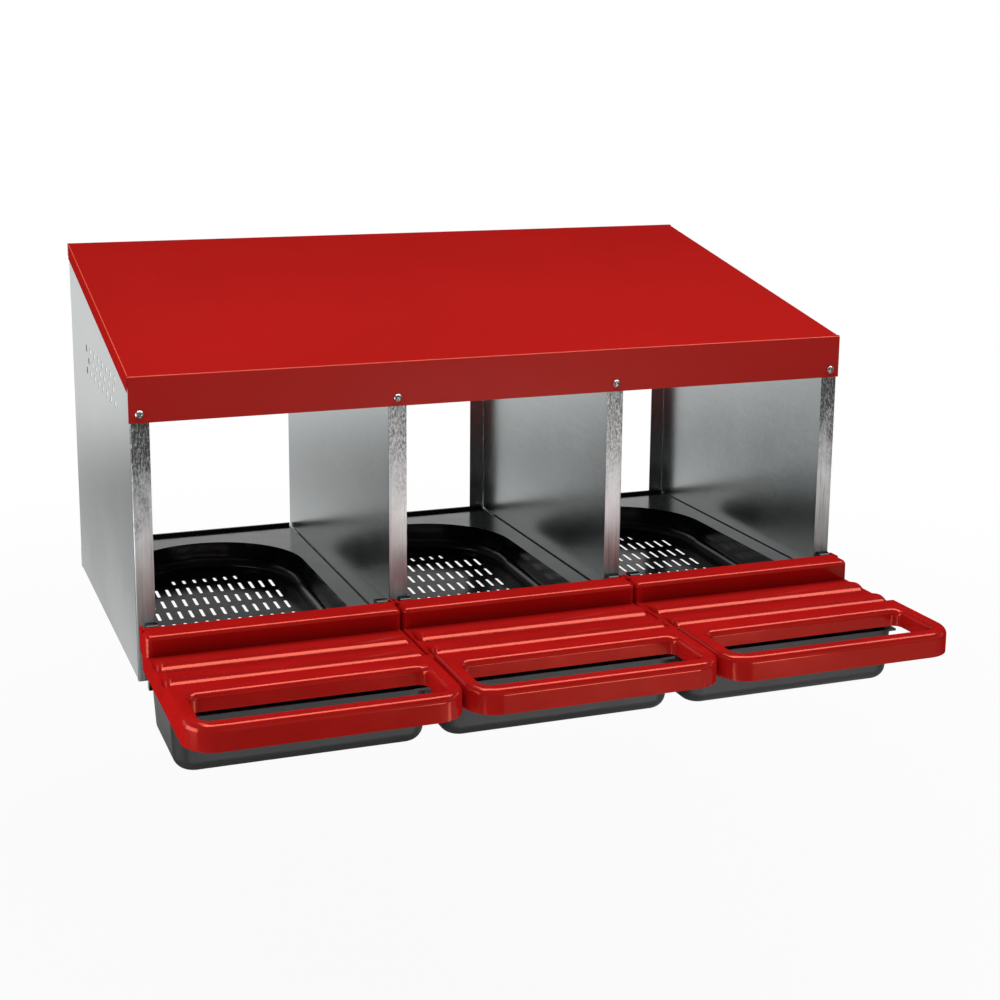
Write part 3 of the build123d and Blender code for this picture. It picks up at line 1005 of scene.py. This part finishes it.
def spread(tree, fastener, material, seed):
    """Copies a fastener to every place, facing forwards, each turned its own way."""
    angle = tree.add("GeometryNodeInputMeshEdgeAngle").outputs["Unsigned Angle"]
    soft = tree.add("GeometryNodeSetShadeSmooth", {"domain": "FACE"}, Geometry=fastener)
    crisp = tree.add(
        "GeometryNodeSetShadeSmooth",
        {"domain": "EDGE"},
        Geometry=soft.outputs["Geometry"],
        Selection=tree.math("GREATER_THAN", angle, CRISP_EDGE),
        Shade_Smooth=False,
    )
    copies = tree.copies(tree.inputs["Geometry"], crisp.outputs["Geometry"], (SQUARE, 0.0, 0.0))
    chance = tree.add("FunctionNodeRandomValue", {"data_type": "FLOAT"}, Seed=seed)
    turn = tree.vector(z=tree.times(chance.outputs["Value"], math.tau))
    turned = tree.add("GeometryNodeRotateInstances", Instances=copies, Rotation=turn)
    tree.finish(turned.outputs["Instances"], material)
    return tree


def screw_tree(material, **sizes):
    """Pan-head screws with a cross recess."""
    tree = Tree("roof_screw", **sizes)
    i = tree.inputs
    head = domed_head(tree, i["Head_Radius"], i["Head_Height"])
    deep = tree.times(i["Recess_Depth"], 2.0)
    top = tree.vector(z=i["Head_Height"])
    sides = [i["Recess_Length"], i["Recess_Width"]]
    slots = []
    for across, along in (sides, reversed(sides)):
        slot = tree.add("GeometryNodeMeshCube", Size=tree.vector(across, along, deep))
        slots.append(tree.move(slot.outputs["Mesh"], Translation=top))
    head = tree.cut(head, *slots)
    bar = shank(tree, i["Shank_Radius"], i["Shank_Length"], THREAD_DEPTH)
    return spread(tree, tree.join(head, bar), material, SCREW_SEED)


def rivet_tree(name, material, tail, **sizes):
    """Rivets with one domed head, and a second one at the far end if asked."""
    tree = Tree(name, **sizes)
    i = tree.inputs
    head = i["Head_Radius"], i["Head_Height"]
    parts = [domed_head(tree, *head), shank(tree, i["Radius"], i["Grip"], 0.0)]
    if tail:
        place = tree.vector(z=tree.times(i["Grip"], -1.0))
        far = tree.move(domed_head(tree, *head), Translation=place, Rotation=(math.pi, 0.0, 0.0))
        parts.append(far)
    return spread(tree, tree.join(*parts), material, RIVET_SEED)


def points(name, places):
    """A mesh of loose points that mark where the fasteners go."""
    mesh = bpy.data.meshes.new(name)
    mesh.from_pydata(places, [], [])
    return put(name, mesh)


class NESTBOX_OT_fasteners(bpy.types.Operator):
    """Makes the screws and rivets, and finishes the nuts and pins"""

    bl_idname = "nestbox.fasteners"
    bl_label = "Fasteners"

    def execute(self, context):
        s = context.scene.nestbox_fasteners
        bright = plated_steel("plated_steel", context.scene.nestbox_finish.steel)
        dress(bright, "roof_nuts", *(f"hinge_pins_{bay}" for bay in BAYS))
        columns = [middle(node, "x") for node in UPRIGHTS]

        level = middle("roof_screws", "z")
        screws = points("roof_screw_heads", [(x, ROOF_LOW.y, level) for x in columns])
        sizes = {
            "Head_Radius": s.screw_head,
            "Head_Height": s.screw_height,
            "Shank_Radius": s.screw,
            "Shank_Length": s.screw_length,
            "Recess_Length": s.recess_length,
            "Recess_Width": s.recess_width,
            "Recess_Depth": s.recess_depth,
        }
        screw_tree(bright, **sizes).use(screws)
        settle(screws, "cabinet", "zinc_fasteners", "roof_screws")

        sizes = {
            "Radius": s.rivet,
            "Head_Radius": s.rivet_head,
            "Head_Height": s.rivet_height,
            "Grip": s.grip,
        }
        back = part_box("rail_rivets")[1].y - s.grip
        rows = [middle(rail, "z") for rail in ("rear_upper_rail", "rear_lower_rail")]
        rails = points("rail_rivet_heads", [(x, back, z) for x in columns for z in rows])
        rivet_tree("rail_rivet", bright, False, **sizes).use(rails)
        settle(rails, "cabinet", "zinc_fasteners", "rail_rivets")

        low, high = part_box("bracket_rivets")
        front = low.y + s.rivet_height
        rows = (low.z + s.rivet_head, high.z - s.rivet_head)
        brackets = points("bracket_rivet_heads", [(x, front, z) for x in columns for z in rows])
        rivet_tree("bracket_rivet", bright, True, **sizes).use(brackets)
        settle(brackets, "cabinet", "zinc_fasteners", "bracket_rivets")
        return {"FINISHED"}


# ---------------------------------------------------------------- stage


def lamp(name, power, place, aim, size):
    """A soft rectangular light that looks at a point."""
    data = bpy.data.lights.new(name, "AREA")
    data.energy = power
    data.shape = "RECTANGLE"
    data.size, data.size_y = size
    light = put(name, data)
    light.location = place
    light.rotation_euler = (Vector(aim) - Vector(place)).to_track_quat("-Z", "Y").to_euler()


def floor_paint():
    """Pale paint that is white to the camera but for a faint shadow, and glows in mirrors in shaped
    patches, a painted reflection on the box's metal and gloss.
    """
    s = Shader("floor_paint")
    s.set(Roughness=0.9)
    s.colour(s.mix(s.noise(s.place, scale=3.0), (0.74, 0.74, 0.74, 1), (0.78, 0.78, 0.78, 1)))
    ray = s.nodes.new("ShaderNodeLightPath").outputs
    x, y, _ = s.split(s.place)
    # painted reflection: patches of glow, placed so that the metal and glossy parts mirror them
    rear = s.span(y, 2.35, 3.3, 0.13, 0.8)
    rear = s.span(x, -0.84, -0.64, rear, 0.76)
    front = s.span(x, 0.15, 0.5, 0.06, 0.28)
    front = s.span(x, 1.6, 1.9, front, 0.06)
    mirrored = s.glow(s.span(y, 0.3, 0.9, front, rear))
    in_mirror = s.math("MAXIMUM", ray["Is Glossy Ray"], ray["Is Transmission Ray"])
    unseen = s.blend(in_mirror, s.surface.outputs["BSDF"], mirrored)
    reach = s.nodes.new("ShaderNodeVectorMath")
    reach.operation = "LENGTH"
    s.links.new(s.place, reach.inputs[0])
    clear = s.span(reach.outputs["Value"], 0.6, 2.4, 0.94, 1.0)
    seen = s.math("MULTIPLY", ray["Is Camera Ray"], clear)
    whole = s.blend(seen, unseen, s.glow(1.0))
    s.links.new(whole, s.nodes["Material Output"].inputs["Surface"])
    return s.material


class NESTBOX_OT_stage(bpy.types.Operator):
    """Makes the floor, the lights, the surroundings and the camera"""

    bl_idname = "nestbox.stage"
    bl_label = "Stage"

    def execute(self, context):
        self.floor(context)
        self.surroundings(context)
        self.lamps(context)
        self.camera(context)
        context.scene.view_settings.view_transform = "Standard"
        return {"FINISHED"}

    def floor(self, context):
        """A wide floor well below the trays."""
        height = CAD_BOX[0].z - context.scene.nestbox_stage.floor_drop
        bpy.ops.mesh.primitive_plane_add(size=FLOOR_SIZE, location=(0, 0, height))
        floor = context.active_object
        floor.name = "floor"
        floor.data.materials.append(floor_paint())

    def surroundings(self, context):
        """A studio that is bright behind, dimmer in front, dark above and white to the camera."""
        world = bpy.data.worlds.new("surroundings")
        context.scene.world = world
        world.use_nodes = True
        sky = Nodes(world.node_tree)
        x, y, z = sky.split(sky.nodes.new("ShaderNodeTexCoord").outputs["Generated"])
        ray = sky.nodes.new("ShaderNodeLightPath").outputs
        rear = sky.span(z, 0.0, 0.25, 0.48, 1.0, smooth=True)
        mirrored = sky.span(x, 0.1, 0.3, 0.12, 0.25, smooth=True)
        front = sky.span(ray["Is Glossy Ray"], 0.0, 1.0, 0.45, mirrored, smooth=True)
        level = sky.span(y, -0.35, 0.35, front, rear, smooth=True)
        level = sky.span(z, 0.3, 0.42, level, 0.08, smooth=True)
        strength = sky.span(ray["Is Camera Ray"], 0.0, 1.0, level, 1.0, smooth=True)
        light = sky.nodes["Background"].inputs
        light["Color"].default_value = (1, 1, 1, 1)
        sky.links.new(strength, light["Strength"])

    def lamps(self, context):
        """Soft lights above and beside the box, and low in front of it."""
        power = context.scene.nestbox_stage
        low, high = CAD_BOX
        centre = (low + high) / 2
        lamp(
            "top_strip",
            power.top_strip,
            place=(0.35, low.y - 0.06, high.z + 1.05),
            aim=(0.35, low.y + 0.1, low.z),
            size=(2.7, 0.55),
        )
        lamp(
            "rear_strip",
            power.rear_strip,
            place=(-0.7, centre.y + 0.1, high.z + 1.1),
            aim=(-0.25, centre.y, high.z),
            size=(1.2, 0.3),
        )
        lamp(
            "left_side",
            power.side,
            place=(low.x - 1.4, centre.y - 0.2, -0.15),
            aim=centre,
            size=(1.2, 1.0),
        )
        lamp(
            "low_front",
            power.low_front,
            place=(0.66, -2.05, -0.47),
            aim=(0.05, -0.4, 0.0),
            size=(0.7, 0.22),
        )
        lamp(
            "low_strip",
            power.low_strip,
            place=(centre.x, low.y - 0.45, low.z - 0.35),
            aim=(centre.x, low.y + 0.1, low.z + 0.05),
            size=(1.6, 0.2),
        )

    def camera(self, context):
        """Sets the camera at the viewing angle of the picture."""
        right = Vector((math.cos(CAMERA_YAW), -math.sin(CAMERA_YAW), 0))
        level = math.cos(CAMERA_PITCH)
        ahead = Vector(
            (
                math.sin(CAMERA_YAW) * level,
                math.cos(CAMERA_YAW) * level,
                -math.sin(CAMERA_PITCH),
            )
        )
        down = ahead.cross(right)
        across = math.cos(CAMERA_ROLL) * right + math.sin(CAMERA_ROLL) * down
        up = math.sin(CAMERA_ROLL) * right - math.cos(CAMERA_ROLL) * down
        matrix = Matrix((across, up, -ahead)).transposed().to_4x4()
        matrix.translation = CAMERA_PLACE
        data = bpy.data.cameras.new("camera")
        data.sensor_fit = "HORIZONTAL"
        data.sensor_width = SENSOR_WIDTH
        data.lens = FOCAL_PIXELS * SENSOR_WIDTH / IMAGE_SIZE
        data.shift_x = 0.5 - IMAGE_CENTRE[0] / IMAGE_SIZE
        data.shift_y = IMAGE_CENTRE[1] / IMAGE_SIZE - 0.5
        camera = put("camera", data)
        camera.matrix_world = matrix
        context.scene.camera = camera


# ---------------------------------------------------------------- panel


class NESTBOX_PT_panel(bpy.types.Panel):
    """Shows the settings and one button for each group of pieces"""

    bl_idname = "NESTBOX_PT_panel"
    bl_label = "Nesting box"
    bl_space_type = "VIEW_3D"
    bl_region_type = "UI"
    bl_category = "Nesting box"

    def draw(self, context):
        for group in GROUPS:
            box = self.layout.box()
            settings = getattr(context.scene, group)
            for name in settings.bl_rna.properties.keys():
                if name not in ("rna_type", "name"):
                    box.prop(settings, name)
        for operator in OPERATORS:
            self.layout.operator(operator.bl_idname)


GROUPS = {
    "nestbox_finish": FinishSettings,
    "nestbox_sheet": SheetSettings,
    "nestbox_plastics": PlasticSettings,
    "nestbox_vents": VentSettings,
    "nestbox_fasteners": FastenerSettings,
    "nestbox_stage": StageSettings,
}
OPERATORS = (
    NESTBOX_OT_uprights,
    NESTBOX_OT_roof,
    NESTBOX_OT_plastics,
    NESTBOX_OT_fasteners,
    NESTBOX_OT_stage,
)
CLASSES = (*GROUPS.values(), *OPERATORS, NESTBOX_PT_panel)


def register():
    """Makes the settings, operators and panel known to Blender."""
    for cls in CLASSES:
        bpy.utils.register_class(cls)
    for name, group in GROUPS.items():
        setattr(bpy.types.Scene, name, PointerProperty(type=group))


def unregister():
    """Takes back what register did, in the opposite order."""
    for name in GROUPS:
        delattr(bpy.types.Scene, name)
    for cls in reversed(CLASSES):
        bpy.utils.unregister_class(cls)


def main():
    """Builds the box and its stage."""
    register()
    bpy.ops.nestbox.uprights()
    bpy.ops.nestbox.roof()
    bpy.ops.nestbox.plastics()
    bpy.ops.nestbox.fasteners()
    bpy.ops.nestbox.stage()


if __name__ == "__main__":
    main()
